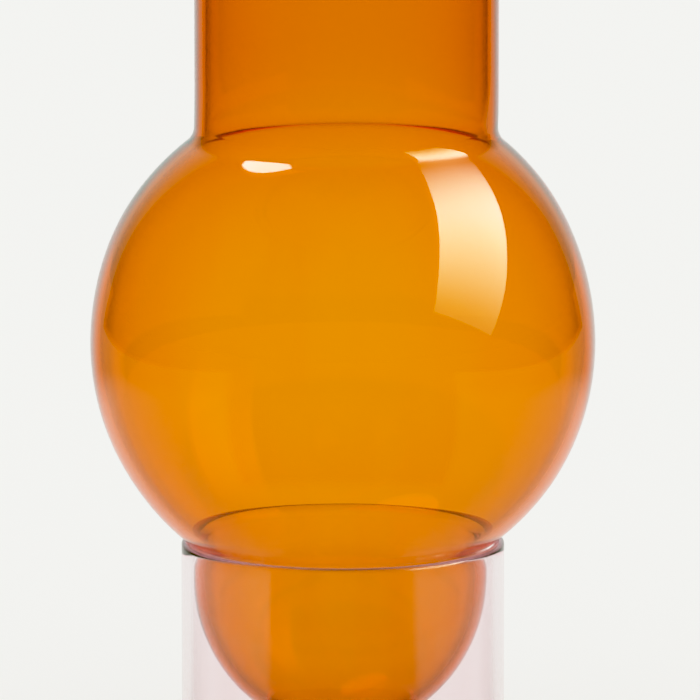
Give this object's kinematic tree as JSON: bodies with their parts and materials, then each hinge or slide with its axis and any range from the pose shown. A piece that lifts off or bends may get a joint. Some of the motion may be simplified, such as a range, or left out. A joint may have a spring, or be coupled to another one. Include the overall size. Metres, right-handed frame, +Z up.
{
  "type": "vase",
  "caption": "Blown-glass vase: an amber vessel with straight neck, round bubble and round-bottomed bowl, standing loose in a straight rose glass tube.",
  "frame": {"origin": "centre of the foot, on the surface the vase stands on", "axes": "+Z up along the axis of the vase, from the foot to the lip of the neck; the vase is round, so +X and +Y are any two level directions"},
  "size_m": [0.12, 0.12, 0.23],
  "materials": {
    "amber_glass": "clear blown glass coloured amber on the inside, polished",
    "rose_glass": "clear pale rose glass, polished, fire-rounded rim"
  },
  "bodies": {
    "base": {"rose_base": "rose_glass"},
    "vessel": {"amber_vessel": "amber_glass"}
  },
  "joints": [
    {"name": "vessel_lift", "type": "slide", "parent": "base", "child": "vessel", "axis": [0, 0, 1], "range_m": [0, 0.06]}
  ]
}
